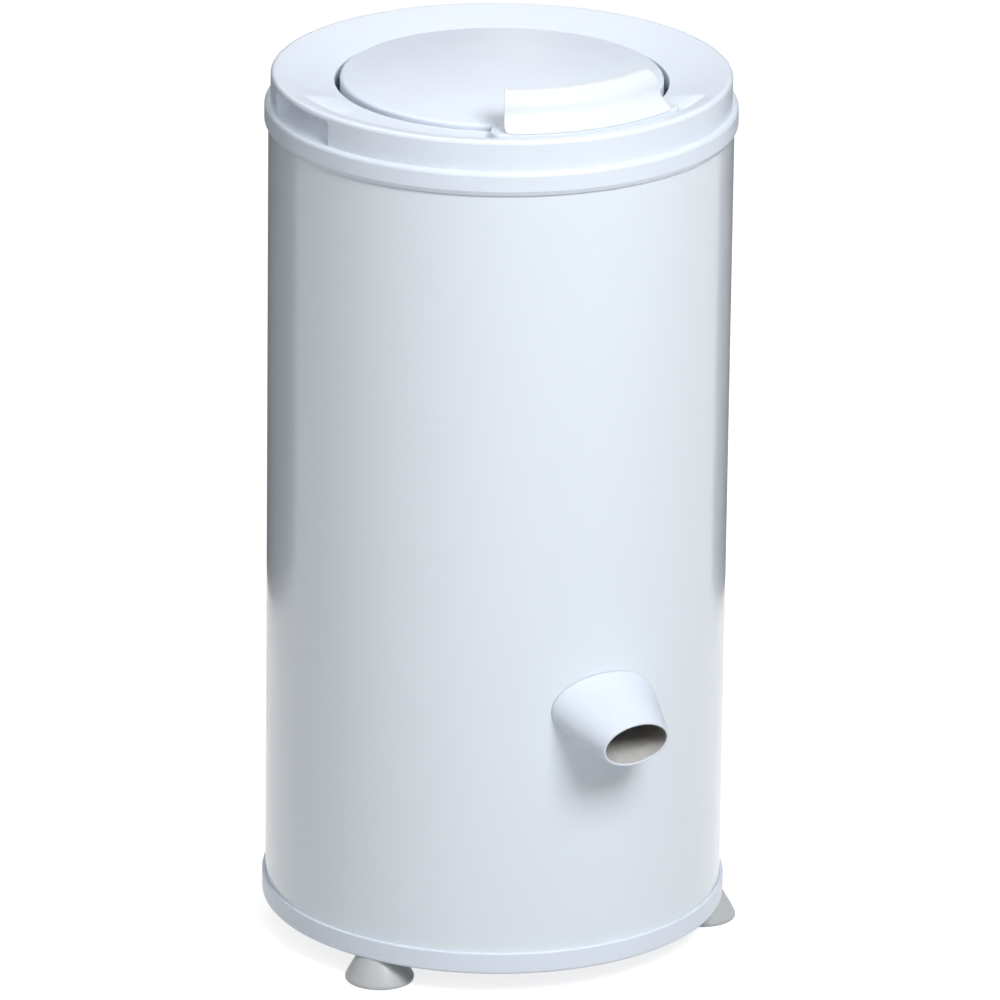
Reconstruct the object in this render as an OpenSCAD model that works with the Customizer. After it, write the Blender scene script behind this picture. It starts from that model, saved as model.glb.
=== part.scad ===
// Laundry spin dryer: a drum on a rubber-mounted motor, in a catch tub, inside a round jacket.
// A hooded lid turns to lock, and opens on a gooseneck hinge at the back.
// Millimetres. The origin is on the floor under the middle, +Z is up and the spout faces -Y.
// An azimuth is measured from the front (-Y), and is positive towards +X.

/* [Overall] */
// Height of the top ring's rim above the floor
height = 660; // [560:0.5:800]
// Outer radius of the jacket
body_r = 170; // [160:0.5:200]

/* [Jacket] */
// Thickness of the jacket's steel sheet
sheet = 0.8; // [0.6:0.1:1.2]
// How far the jacket's top edge lies below the rim
jacket_drop = 26.6; // [26:0.1:30]
// Width of the lapped seam at the back
seam_w = 14; // [8:1:24]

/* [Base pan and feet] */
// Height of the pan's lower edge above the floor
pan_z = 19.5; // [16:0.5:24]
// Height of the band that shows under the jacket
pan_band_h = 16.4; // [12:0.2:22]
// How far the band stands out from the jacket
pan_lip = 2.5; // [1.5:0.1:4]
// Thickness of the pan's floor
pan_floor_t = 3; // [2:0.5:5]
// How far a foot's centre lies inside the jacket's face
foot_inset = 13; // [11:0.5:16]
// Radius of a foot on the floor
foot_r = 25.4; // [20:0.2:28]
// Radius of a foot's neck under the pan
foot_neck_r = 15; // [12:0.5:17]

/* [Top ring] */
// Height of the band above the flange
band_h = 22.6; // [21:0.2:26]
// How far the band lies inside the jacket's face
band_inset = 1.6; // [1:0.1:3]
// Height of the flange
flange_h = 17.2; // [14:0.2:22]
// How far the flange stands out from the jacket
flange_lip = 2.9; // [2:0.1:5]
// Radius of the rim's round edge
rim_round = 3; // [2:0.5:4]
// Radius of the mouth that the lid fills
mouth_r = 122; // [114:0.5:124]
// Drop from the rim to the edge of the mouth
mouth_drop = 7; // [6:0.1:7.5]
// Wall thickness of the moulding
ring_wall = 2.6; // [2:0.1:3]
// Half angle of a carry recess
recess_half = 14; // [11:0.5:17]

/* [Lid] */
// Gap between the lid and the ring
lid_gap = 4; // [3.5:0.1:5]
// Rise of the lid's dome
lid_rise = 5; // [3:0.5:8]
// Wall thickness of the lid
lid_wall = 2.6; // [2:0.1:3.2]
// Half angle of the lid's tongue
tongue_half = 31.5; // [28:0.5:33]
// Outer radius of the tongue
tongue_r = 151; // [149:0.5:152]
// Angle that the lid turns to unlock
turn_range = 48; // [40:1:48]
// Angle that the lid opens to
open_range = 95; // [80:1:95]
// Half angle of the grip
grip_half = 27.5; // [22:0.5:29]
// Height of the grip's lip above the rim
grip_h = 25; // [22:0.2:30]
// Radius of the roll at the grip's top
grip_roll = 12.5; // [9:0.5:14]
// Radius of the tongue's and the grip's outer corners
corner_r = 8; // [3:0.5:10]

/* [Spout] */
// Height of the spout's root
spout_z = 224; // [212:0.5:250]
// Half width of the root
spout_root_w = 42; // [38:0.5:50]
// Half height of the root
spout_root_h = 25.5; // [20:0.5:28]
// Half width of the mouth
spout_mouth_w = 27; // [24:0.5:32]
// Half height of the mouth
spout_mouth_h = 19; // [15:0.5:21]
// How far the middle of the mouth stands out from the jacket
spout_reach = 47; // [36:0.5:60]
// How far the mouth's middle lies below the root's
spout_fall = 14.4; // [8:0.2:18]
// Slope of the spout's axis at the mouth
spout_tilt = 16; // [5:1:25]
// Wall thickness of the spout
spout_wall = 2; // [1.6:0.1:2.4]

/* [Drum and tub] */
// Gap between the jacket's face and the tub's face
tub_inset = 20; // [18:0.5:24]
// Gap between the tub's face and the drum's face
drum_gap = 22; // [20:0.5:28]
// Thickness of the tub's wall
tub_wall = 2.5; // [2:0.1:3]
// Thickness of the drum's sheet
drum_sheet = 1.2; // [1:0.1:1.6]
// Width of the drum's turned-in rim
drum_rim_w = 20; // [14:0.5:24]
// Drop from the rim of the machine to the top of the drum
drum_drop = 41.4; // [41:0.2:60]
// Radius of a drain hole in the drum
drain_r = 2.5; // [1.5:0.1:3.5]
// Rows of drain holes
drain_rows = 8; // [4:1:10]
// Drain holes in a row
drain_count = 18; // [10:1:24]

/* [Motor and brake] */
// Radius of the shaft
shaft_r = 8; // [7:0.5:9]
// Radius of the motor's shields
motor_r = 62; // [56:1:66]
// Radius of the brake drum
brake_r = 40; // [36:1:41]
// Gap between lining and brake drum when the lid is locked
brake_gap = 3.3; // [3:0.1:5]
// Angle that the brake lever swings
brake_swing = 3; // [2:0.1:3]
// Angle that the interlock lever swings
lever_swing = 12; // [6:1:12]

/* [Hidden] */
$fn = 96;

// Clearances
run = 0.05;       // between a pin and the bore that turns on it
slip = 0.1;       // between pieces that are pushed together
eps = 0.02;       // overlap that joins the solids of one piece
past = 1;         // how far a cut runs past a face

// Heights
pan_floor_z = pan_z + 1.5;
pan_top = pan_floor_z + pan_floor_t;
pan_band_top = pan_z + pan_band_h;
jacket_z0 = pan_z + 5.5;
jacket_z1 = height - jacket_drop;
flange_z1 = height - band_h;
flange_z0 = flange_z1 - flange_h;
mouth_z = height - mouth_drop;
plate_z = mouth_z - ring_wall;        // underside of the ring's top plate
tub_flange_t = 3;
tub_top = height - 33.4;
tub_low = spout_z - 18;
tub_neck_z = tub_low + 22;
tub_neck_top = tub_low + 35;
drum_low = tub_neck_top + 10;
drum_floor_z = drum_low + 2;
drum_floor_t = 3;
drum_top = height - drum_drop;
shaft_z0 = 38;
shaft_shoulder_z = drum_floor_z + 18;

// Radii
band_r = body_r - band_inset;
flange_r = body_r + flange_lip;
pan_r = body_r + pan_lip;
crest_r = band_r - 4.4;
tub_r = body_r - tub_inset;
tub_flange_r = body_r - 6;
drum_r = tub_r - drum_gap;
drum_mouth_r = drum_r - drum_rim_w;
foot_pcr = body_r - foot_inset;
foot_az = [-60, 60, 180];
lid_r = mouth_r - lid_gap;
bead_r = tongue_r + 4;

// Lid
lid_edge_z = mouth_z + 3;
tongue_edge_z = height - 0.4;
dome_r = (pow(lid_r, 2) + pow(lid_rise, 2)) / (2 * lid_rise);
dome_z = lid_edge_z + lid_rise - dome_r;
lid_low = mouth_z - 7.9;
carrier_z = lid_low - 0.5;            // top of the inner lid
carrier_t = 3;
carrier_r = lid_r - 4;
pivot_r = 6;
seal_t = 4;

// Hinge
hinge_y = mouth_r + 18;
hinge_z = mouth_z - 7.4;
hinge_pin_r = 2.5;
hinge_boss_r = 4.4;
arm_r = 23;
arm_t = 4;
arm_x = 6;
arm_w = 8;
hinge_slot = 16;

// Channel and interlock
channel_lo = -(tongue_half + turn_range + 1.5);
channel_hi = tongue_half + 4.5;
peg_az = 27;
peg_r = 4;
peg_pcr = 136;
peg_slot_w = 10;
lever_az = peg_az + 3.2;
lever_pcr = bead_r + 2;
lever_z = height - 23.4;
lever_t = 5;
lever_arm = 24;
lever_hook = 18;
cable_r = 1.5;
cable_az = lever_az + atan(lever_hook / lever_pcr);
cable_pcr = sqrt(pow(lever_pcr, 2) + pow(lever_hook, 2));

// Brake
brake_offset = 35;
brake_az = cable_az + asin(brake_offset / cable_pcr);
lever_u = brake_r + 12;
lever_v = 45;
brake_z = 54;
brake_t = 8;
lining_t = 4;

// Screws of the ring and the motor's mounts
ring_screw_az = [-130, -65, -12, 12, 65, 130];
ring_screw_pcr = body_r - 10;
mount_pcr = 110;
mount_z0 = pan_top + 11;
carrier_plate_z = 70;
carrier_plate_t = 3;
motor_z = carrier_plate_z + carrier_plate_t;
core_z0 = motor_z + 19;
core_z1 = core_z0 + 45;
roof_z = core_z1 + 15;
tube_r = 22;
tube_top = tub_neck_top - 6;
bearing_r = 16;
bearing_t = 11;
lower_bearing_z = motor_z + 4;
upper_bearing_z = tube_top - 16;
bolt_pcr = motor_r + 2;

// Points of an arc round c, from angle a1 to a2
function arc(c, r, a1, a2, n = 6) =
    [for (i = [0:n]) c + r * [cos(a1 + (a2 - a1) * i / n), sin(a1 + (a2 - a1) * i / n)]];

// Places its children at an azimuth and a radius, with -Y pointing outwards
module at_az(az, r = 0) {
    rotate([0, 0, az]) translate([0, -r, 0]) children();
}

// Sweeps a section from one azimuth to another
module sweep_az(a1, a2) {
    rotate([0, 0, a1 - 90]) rotate_extrude(angle = a2 - a1) children();
}

// Full turn of a section given as radius and height points
module turned(points) {
    rotate_extrude() polygon(points);
}

// Straight tube from z0 to z1
module tube(r1, r2, z0, z1) {
    translate([0, 0, z0]) difference() {
        cylinder(r = r2, h = z1 - z0);
        translate([0, 0, -past]) cylinder(r = r1, h = z1 - z0 + 2 * past);
    }
}

// A bar from z0 to z1
module rod(r, z0, z1) {
    translate([0, 0, z0]) cylinder(r = r, h = z1 - z0);
}

// A pan-head screw that points down, with its head's seat at z
module screw(z, r, length, head_r, head_h) {
    rod(r, z - length, z + eps);
    rod(head_r, z, z + head_h);
}

// ---- Jacket, base and feet ----

module spout_hole() {
    half_w = sleeve_w + 2 - (sleeve_h + 2);
    at_az(0, body_r + 10) translate([0, 0, sleeve_z]) rotate([-90, 0, 0]) linear_extrude(30) {
        for (side = [-1, 1]) translate([side * half_w, 0]) circle(sleeve_h + 2);
        square([2 * half_w, 2 * (sleeve_h + 2)], center = true);
    }
}

module jacket() {
    color([0.9, 0.92, 0.94]) {
        difference() {
            tube(body_r - sheet, body_r, jacket_z0, jacket_z1);
            spout_hole();
            at_az(180, body_r + 10) translate([0, 0, gland_z]) rotate([-90, 0, 0])
                cylinder(r = gland_r + slip, h = 30);
        }
        // The lapped seam's inner fold
        seam_a = seam_w / (2 * body_r) * 180 / PI;
        sweep_az(180 - seam_a, 180 + seam_a)
            translate([body_r - 2 * sheet, pan_band_top + 50])
            square([sheet + eps, jacket_z1 - pan_band_top - 70]);
    }
}

module pan_section() {
    polygon(concat(
        [[body_r - 4, pan_floor_z], [body_r - 2, pan_z]],
        arc([pan_r - 2, pan_z + 2], 2, -90, 0, 4),
        arc([pan_r - 1, pan_band_top - 1], 1, 0, 90, 3),
        [[body_r + slip, pan_band_top], [body_r + slip, jacket_z0],
         [body_r - sheet - slip, jacket_z0], [body_r - sheet - slip, pan_band_top + 10],
         [body_r - 4, pan_band_top + 10], [body_r - 4, pan_top],
         [45, pan_top], [45, pan_floor_z]]));
}

module base_pan() {
    color([0.92, 0.94, 0.96]) difference() {
        union() {
            rotate_extrude() pan_section();
            // Gussets between the floor and the upstand
            for (a = [15:30:345]) at_az(a, body_r - 3.5)
                translate([-1.2, 0, pan_top - eps]) cube([2.4, 30, 8]);
            // Guard across the fan's air intake
            for (a = [0:60:120]) rotate([0, 0, a]) translate([-46, -1.5, pan_floor_z])
                cube([92, 3, pan_floor_t]);
            tube(18, 21, pan_floor_z, pan_top);
            for (a = foot_az) {
                at_az(a, foot_pcr) rod(foot_neck_r, pan_z, pan_top + 4);
                at_az(a, mount_pcr) rod(15, pan_floor_z, mount_z0);
            }
        }
        for (a = foot_az) {
            at_az(a, foot_pcr) rod(6 + slip, pan_z - past, pan_top);
            at_az(a, foot_pcr) rod(2.5 + run, pan_z, pan_top + 5);
            at_az(a, mount_pcr) rod(3 + slip, mount_z0 - 6, mount_z0 + past);
        }
        // Groove that the jacket stands in
        tube(body_r - sheet - slip, body_r + slip, jacket_z0, pan_top + 20);
        // Air slots
        for (a = [0:30:330]) at_az(a, 84) translate([-3, -12, pan_floor_z - past])
            cube([6, 24, pan_floor_t + 2 * past]);
    }
}

module foot(az) {
    flare = foot_r - foot_neck_r - 2;
    color([0.62, 0.64, 0.66]) at_az(az, foot_pcr) difference() {
        turned(concat(
            [[0, 0], [11, 0], [12, 1.5], [18, 1.5], [19, 0], [foot_r - 0.6, 0], [foot_r, 1], [foot_r, 2.6]],
            [for (i = [1:6]) [foot_r - flare * sin(15 * i),
                              2.6 + (pan_z - 5.6) * (1 - cos(15 * i))]],
            [[foot_neck_r, pan_z - 1.5], [foot_neck_r, pan_z], [6, pan_z], [6, pan_top - 0.4],
             [0, pan_top - 0.4]]));
        rod(2.5 + run, 7, pan_top + past);
    }
}

module foot_front_left() {
    foot(foot_az[0]);
}

module foot_front_right() {
    foot(foot_az[1]);
}

module foot_rear() {
    foot(foot_az[2]);
}

module foot_screws() {
    color([0.75, 0.76, 0.78]) for (a = foot_az) at_az(a, foot_pcr)
        screw(pan_top + 4, 2.5, pan_top + 4 - 8, 5, 3);
}

// ---- Top ring ----

ring_section = concat(
    [[body_r + 0.3, flange_z0], [body_r + 1.4, flange_z0], [flange_r, flange_z0 + 3.5]],
    arc([flange_r - 3, flange_z1 - 3], 3, 0, 90, 5),
    [[band_r, flange_z1]],
    arc([band_r - rim_round, height - rim_round], rim_round, 0, 90, 5),
    [[crest_r, height]],
    arc([mouth_r + 1, mouth_z - 1], 1, 90, 180, 3),
    [[mouth_r, mouth_z - 22], [mouth_r + 2.5, mouth_z - 22], [mouth_r + 2.5, plate_z],
     [bead_r + 2, plate_z], [bead_r + 4, height - 3.1], [band_r - ring_wall, height - 3.1],
     [band_r - ring_wall, jacket_z1], [body_r + 0.3, jacket_z1]]);

recess_section = [[flange_r + 2, flange_z1 - 3.1], [flange_r + 2, height - 3.9],
    [body_r - 10, height - 3.9], [body_r - 11.5, height - 10.4], [body_r - 22, height - 12.4],
    [body_r - 24, height - 18.4]];

recess_shell = [[body_r - 3, jacket_z1 - 0.4], [body_r - 10, jacket_z1 - 0.4],
    [body_r - 25.5, height - 22.4], [body_r - 26.5, height - 18.4], [body_r - 24.5, height - 9.9],
    [body_r - 13.5, height - 7.8], [body_r - 12.5, height - 1.9], [body_r - 3, height - 1.9]];

module top_ring() {
    peg_half = (peg_r + 1.2) / peg_pcr * 180 / PI;
    color([0.93, 0.95, 0.97]) difference() {
        union() {
            turned(ring_section);
            for (side = [-90, 90]) sweep_az(side - recess_half - 1.3, side + recess_half + 1.3)
                polygon(recess_shell);
            for (a = ring_screw_az) at_az(a, ring_screw_pcr) rod(5, tub_top, plate_z + 3);
            // Bosses of the interlock's pin and of the switch
            at_az(lever_az, lever_pcr) rod(5, lever_z + lever_t + 0.4, plate_z + eps);
            at_az(lever_az, lever_pcr) for (y = switch_y) translate([switch_x, y, 0])
                rod(3, lever_z + lever_t, plate_z + eps);
        }
        // Channel that the tongue moves in
        sweep_az(channel_lo, channel_hi) translate([mouth_r - past, mouth_z - 0.1])
            square([bead_r - mouth_r + past, 20]);
        // Slot that the tongue's peg runs in
        sweep_az(peg_az - turn_range - peg_half, peg_az + peg_half)
            translate([peg_pcr - peg_slot_w / 2, plate_z - past]) square([peg_slot_w, 10]);
        for (side = [-90, 90]) sweep_az(side - recess_half, side + recess_half)
            polygon(recess_section);
        for (a = ring_screw_az) at_az(a, ring_screw_pcr) rod(1.9, tub_top - past, plate_z - 3);
        at_az(lever_az, lever_pcr) rod(2.5, lever_z, plate_z - 1);
        // Slot for the hinge arms
        translate([-hinge_slot, mouth_r - 8, mouth_z - 23])
            cube([2 * hinge_slot, 14, plate_z - mouth_z + 22.9]);
    }
    // Index mark at the front
    color([0.93, 0.95, 0.97]) at_az(0, bead_r)
        translate([-3.5, -0.6, mouth_z - 0.2]) cube([7, 3.4, 5.5]);
}

module ring_screws() {
    color([0.75, 0.76, 0.78]) for (a = ring_screw_az) at_az(a, ring_screw_pcr)
        translate([0, 0, tub_top - tub_flange_t]) mirror([0, 0, 1]) screw(0, 1.85, 18, 3.6, 2.4);
}

// ---- Tub, outlet and seals ----

sleeve_w = 28;
sleeve_h = 14;
sleeve_z = spout_z + 1;
outlet_n = 48;

// A ring of points on an upright cylinder of radius r, with half sizes w and h
function ring_on(r, w, h, z) =
    [for (i = [0:outlet_n - 1]) let (a = 360 * i / outlet_n, x = w * cos(a))
        [x, -sqrt(r * r - x * x), z + h * sin(a)]];

// A flat ring of points across the spout's axis, moved along the axis by out
function mouth_ring(w, h, out = 0) =
    [for (i = [0:outlet_n - 1]) let (a = 360 * i / outlet_n, s = h * sin(a))
        [w * cos(a),
         -body_r - spout_reach - s * sin(spout_tilt) - out * cos(spout_tilt),
         spout_z - spout_fall + s * cos(spout_tilt) - out * sin(spout_tilt)]];

function between(a, b, t) = [for (i = [0:outlet_n - 1]) a[i] + t * (b[i] - a[i])];

// A closed tube through a loop of rings
module ring_loop(rings) {
    m = len(rings);
    n = outlet_n;
    polyhedron(
        points = [for (r = rings) for (p = r) p],
        faces = [for (k = [0:m - 1]) for (i = [0:n - 1]) for (half = [0, 1])
            let (a = k * n + i, b = k * n + (i + 1) % n,
                 c = ((k + 1) % m) * n + i, d = ((k + 1) % m) * n + (i + 1) % n)
            half == 0 ? [a, b, d] : [a, d, c]],
        convexity = 6);
}

module outlet_spout() {
    root = ring_on(body_r + 0.15, spout_root_w, spout_root_h, spout_z);
    lip = mouth_ring(spout_mouth_w, spout_mouth_h);
    bore_lip = mouth_ring(spout_mouth_w - spout_wall, spout_mouth_h - spout_wall);
    bore_root = ring_on(body_r, sleeve_w - spout_wall, sleeve_h - spout_wall, sleeve_z);
    color([0.97, 0.98, 0.99]) ring_loop(concat(
        [root],
        [for (t = [0.12, 0.3, 0.5, 0.7, 0.88]) between(root, lip, t - 0.09 * sin(180 * t))],
        [lip, mouth_ring(spout_mouth_w - 0.5, spout_mouth_h - 0.5, 0.6),
         mouth_ring(spout_mouth_w - spout_wall + 0.5, spout_mouth_h - spout_wall + 0.5, 0.6)],
        [for (t = [0, 0.25, 0.5, 0.75, 1]) between(bore_lip, bore_root, t)],
        [ring_on(tub_r - tub_wall - 1, sleeve_w - spout_wall, sleeve_h - spout_wall, sleeve_z),
         ring_on(tub_r - tub_wall - 1, sleeve_w, sleeve_h, sleeve_z),
         ring_on(body_r + 0.15, sleeve_w, sleeve_h, sleeve_z),
         ring_on(body_r + 0.15, (sleeve_w + spout_root_w) / 2, (sleeve_h + spout_root_h) / 2,
             (sleeve_z + spout_z) / 2)]));
}

module spout_seal() {
    color([0.25, 0.26, 0.27]) ring_loop([
        ring_on(body_r - sheet - slip, sleeve_w + 7, sleeve_h + 6, sleeve_z),
        ring_on(body_r - sheet - slip, sleeve_w + 0.3, sleeve_h + 0.3, sleeve_z),
        ring_on(tub_r + slip, sleeve_w + 0.3, sleeve_h + 0.3, sleeve_z),
        ring_on(tub_r + slip, sleeve_w + 7, sleeve_h + 6, sleeve_z),
        ring_on(tub_r + 6, sleeve_w + 3, sleeve_h + 3, sleeve_z),
        ring_on(body_r - sheet - 6, sleeve_w + 3, sleeve_h + 3, sleeve_z)]);
}

tub_section = [[tub_flange_r, tub_top], [tub_flange_r, tub_top - tub_flange_t],
    [tub_r, tub_top - tub_flange_t], [tub_r, tub_low + 6], [tub_r - 5, tub_low],
    [tub_r - 32, tub_low], [31, tub_neck_z], [31, tub_neck_top], [34, tub_neck_top],
    [34, tub_neck_z + 2.5],
    [tub_r - 31, tub_low + 3], [tub_r - 6, tub_low + 3], [tub_r - tub_wall, tub_low + 7],
    [tub_r - tub_wall, tub_top]];

module catch_tub() {
    half_w = sleeve_w - sleeve_h;
    color([0.95, 0.96, 0.97]) difference() {
        turned(tub_section);
        translate([0, -tub_r + 8, sleeve_z]) rotate([90, 0, 0]) linear_extrude(20) {
            for (side = [-1, 1]) translate([side * half_w, 0]) circle(sleeve_h + 0.6);
            square([2 * half_w, 2 * sleeve_h + 1.2], center = true);
        }
        for (a = ring_screw_az) at_az(a, ring_screw_pcr) rod(2.2, tub_top - 5, tub_top + past);
        for (x = hinge_screw_x) translate([x, hinge_screw_y, 0]) rod(2.2, tub_top - 5, tub_top + past);
        at_az(cable_az, cable_pcr) rod(cable_r + 1, tub_top - 5, tub_top + past);
    }
}

module tub_boot() {
    color([0.2, 0.2, 0.21]) turned([[tube_r + slip, tube_top - 14], [tube_r + 3, tube_top - 14],
        [tube_r + 3, tube_top - 8], [31 - slip, tube_top - 3], [31 - slip, tube_top + 5],
        [tube_r + 6, tube_top + 5], [tube_r + 6, tube_top - 1], [tube_r + slip, tube_top - 5]]);
}

// ---- Motor and its carrier ----

module carrier_plate() {
    color([0.6, 0.62, 0.65]) difference() {
        union() {
            rod(motor_r + 20, carrier_plate_z, motor_z);
            for (a = foot_az) {
                at_az(a) translate([-15, -mount_pcr, carrier_plate_z])
                    cube([30, mount_pcr, carrier_plate_t]);
                at_az(a, mount_pcr) rod(15, carrier_plate_z, motor_z);
            }
        }
        rod(shaft_r + 4, carrier_plate_z - past, motor_z + past);
        for (a = foot_az) at_az(a, mount_pcr) rod(3 + slip, carrier_plate_z - past, motor_z + past);
        for (a = [45:90:315]) at_az(a, bolt_pcr) rod(2.5, carrier_plate_z - past, motor_z + past);
    }
}

module rubber_mounts() {
    mid = (mount_z0 + carrier_plate_z) / 2;
    color([0.14, 0.14, 0.15]) for (a = foot_az) at_az(a, mount_pcr)
        turned([[3 + slip, mount_z0], [15, mount_z0], [15, mount_z0 + 5], [10.5, mid - 6],
            [10.5, mid + 6], [15, carrier_plate_z - 5], [15, carrier_plate_z],
            [3 + slip, carrier_plate_z]]);
}

module mount_bolts() {
    color([0.75, 0.76, 0.78]) for (a = foot_az) at_az(a, mount_pcr) {
        rod(3, mount_z0 - 5, motor_z + 1);
        translate([0, 0, motor_z]) cylinder(r = 5.8, h = 4, $fn = 6);
    }
}

module shield_windows(z0, z1) {
    for (a = [0:90:270]) at_az(a, motor_r + 5) translate([-16, 0, z0]) cube([32, 16, z1 - z0]);
}

module shield_ears(z0, z1) {
    for (a = [45:90:315]) at_az(a, bolt_pcr) rod(6, z0, z1);
}

module shield_bolt_holes() {
    for (a = [45:90:315]) at_az(a, bolt_pcr) rod(2.5, motor_z - past, roof_z + 6);
}

module motor_lower_shield() {
    color([0.7, 0.71, 0.73]) difference() {
        union() {
            turned([[shaft_r + 2, motor_z], [motor_r, motor_z], [motor_r, core_z0 + 6],
                [motor_r - 4 + slip, core_z0 + 6], [motor_r - 4 + slip, core_z0],
                [motor_r - 8, core_z0], [motor_r - 8, motor_z + 3], [20, motor_z + 3],
                [20, lower_bearing_z + bearing_t], [bearing_r, lower_bearing_z + bearing_t],
                [bearing_r, lower_bearing_z], [shaft_r + 2, lower_bearing_z]]);
            difference() {
                shield_ears(motor_z + 0.4, core_z0 + 5.5);
                rod(motor_r - 3, motor_z - past, core_z0 + 7);
            }
        }
        shield_windows(motor_z + 5, core_z0 - 3);
        shield_bolt_holes();
    }
}

module motor_upper_shield() {
    color([0.7, 0.71, 0.73]) difference() {
        union() {
            turned([[motor_r - 4 + slip, core_z1 - 6], [motor_r, core_z1 - 6], [motor_r, roof_z],
                [motor_r - 4, roof_z + 4], [tube_r + 8, roof_z + 4], [tube_r, roof_z + 12],
                [tube_r, tube_top], [bearing_r, tube_top], [bearing_r, upper_bearing_z],
                [bearing_r - 3, upper_bearing_z], [bearing_r - 3, roof_z],
                [motor_r - 8, roof_z], [motor_r - 8, core_z1], [motor_r - 4 + slip, core_z1]]);
            difference() {
                shield_ears(core_z1 - 5.5, roof_z + 4);
                rod(motor_r - 3, core_z1 - 7, roof_z + 5);
            }
        }
        shield_windows(core_z1 + 3, roof_z - 3);
        shield_bolt_holes();
    }
}

module motor_bolts() {
    color([0.75, 0.76, 0.78]) for (a = [45:90:315]) at_az(a, bolt_pcr) {
        rod(2.4, carrier_plate_z, roof_z + 5);
        translate([0, 0, roof_z + 4]) cylinder(r = 5, h = 4, $fn = 6);
    }
}

module stator_core() {
    color([0.45, 0.46, 0.48]) difference() {
        tube(34, motor_r - 4, core_z0, core_z1);
        for (a = [0:30:330]) at_az(a, 50) translate([-3, 0, core_z0 - past])
            cube([6, 17, core_z1 - core_z0 + 2 * past]);
    }
}

module stator_windings() {
    color([0.72, 0.42, 0.2]) {
        for (z = [core_z0 - 11.3, core_z1 + 0.3]) translate([0, 0, z])
            turned([[37, 0], [50, 0], [52, 3], [52, 8], [50, 11], [39, 11], [37, 8]]);
        for (a = [0:30:330]) at_az(a, 49) translate([-2.5, 0, core_z0 - 2])
            cube([5, 11, core_z1 - core_z0 + 4]);
    }
}

module bearing(z) {
    color([0.8, 0.81, 0.83]) turned([[shaft_r + run, z], [shaft_r + 2.6, z], [shaft_r + 2.8, z + 0.6],
        [bearing_r - 2.8, z + 0.6], [bearing_r - 2.6, z], [bearing_r - run, z],
        [bearing_r - run, z + bearing_t - 0.5], [bearing_r - 2.6, z + bearing_t - 0.5],
        [bearing_r - 2.8, z + bearing_t - 1.1], [shaft_r + 2.8, z + bearing_t - 1.1],
        [shaft_r + 2.6, z + bearing_t - 0.5], [shaft_r + run, z + bearing_t - 0.5]]);
}

module lower_bearing() {
    bearing(lower_bearing_z);
}

module upper_bearing() {
    bearing(upper_bearing_z);
}

// ---- Electrical pieces ----

cap_at = [-95, 70];
cap_r = 17.5;
gland_z = 62;
gland_r = 7;
switch_x = 14;
switch_y = [12, 20];

module capacitor() {
    color([0.85, 0.86, 0.87]) translate([cap_at[0], cap_at[1], pan_top + 2]) {
        turned([[0, 0], [cap_r - 1.5, 0], [cap_r, 1.5], [cap_r, 68], [cap_r - 1, 70], [cap_r - 3, 70],
            [cap_r - 3, 69], [0, 69]]);
        for (x = [-6, 6]) translate([x - 3, -0.4, 68.9]) cube([6, 0.8, 9]);
    }
}

module capacitor_clip() {
    color([0.2, 0.2, 0.21]) translate([cap_at[0], cap_at[1], 0]) difference() {
        turned([[0, pan_top], [cap_r + 5, pan_top], [cap_r + 5, pan_top + 2],
            [cap_r + 1.8, pan_top + 4], [cap_r + 1.8, pan_top + 24], [cap_r + slip, pan_top + 24],
            [cap_r + slip, pan_top + 2], [0, pan_top + 2]]);
        translate([-6, -cap_r - 10, pan_top + 6]) cube([12, 15, 30]);
    }
}

module cord_gland() {
    color([0.2, 0.2, 0.21]) at_az(180, body_r) translate([0, 0, gland_z]) rotate([90, 0, 0]) difference() {
        union() {
            turned([[0, -2], [gland_r, -2], [gland_r, 0.2], [10, 0.2], [10, 2.5], [gland_r + 0.5, 3.5],
                [5.6, 8], [0, 8]]);
            rod(gland_r, -8, 0);
            translate([0, 0, -7]) cylinder(r = 10.5, h = 5.2, $fn = 6);
        }
        rod(4, -10, 10);
    }
}

module microswitch() {
    color([0.15, 0.15, 0.16]) at_az(lever_az, lever_pcr) {
        translate([switch_x - 6, 8.5, lever_z - 2]) cube([12, 15, 7]);
        translate([switch_x - 1.5, 7.4, lever_z + 0.5]) cube([3, 2, 3]);
        for (y = [11, 16, 21]) translate([switch_x - 2, y - 0.4, lever_z - 7]) cube([4, 0.8, 6]);
    }
}

// ---- Interlock and brake ----

module interlock_lever() {
    color([0.3, 0.31, 0.33]) at_az(lever_az, lever_pcr) translate([0, 0, lever_z]) difference() {
        union() {
            cylinder(r = 5, h = lever_t);
            translate([-3, 0, 0]) cube([6, lever_arm, lever_t]);
            translate([0, lever_arm, 0]) cylinder(r = 3, h = lever_t);
            translate([0, -3, 0]) cube([lever_hook, 6, lever_t]);
            translate([lever_hook, 0, 0]) cylinder(r = 3.5, h = lever_t);
        }
        translate([0, 0, -past]) cylinder(r = 2.4 + run, h = lever_t + 2 * past);
        translate([lever_hook, 0, 1.5]) cylinder(r = 1.8, h = lever_t);
    }
}

module interlock_pin() {
    color([0.75, 0.76, 0.78]) at_az(lever_az, lever_pcr) {
        rod(2.4, lever_z - 3, plate_z - 1.2);
        rod(4.2, lever_z - 3, lever_z - 0.3);
    }
}

module brake_drum() {
    color([0.5, 0.5, 0.52]) turned([[shaft_r + run, 52], [shaft_r + 8, 52], [shaft_r + 8, 60],
        [brake_r - 4, 60], [brake_r - 4, 52], [brake_r, 52], [brake_r, 66], [shaft_r + 8, 66],
        [shaft_r + 6, 68], [shaft_r + run, 68]]);
}

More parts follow.
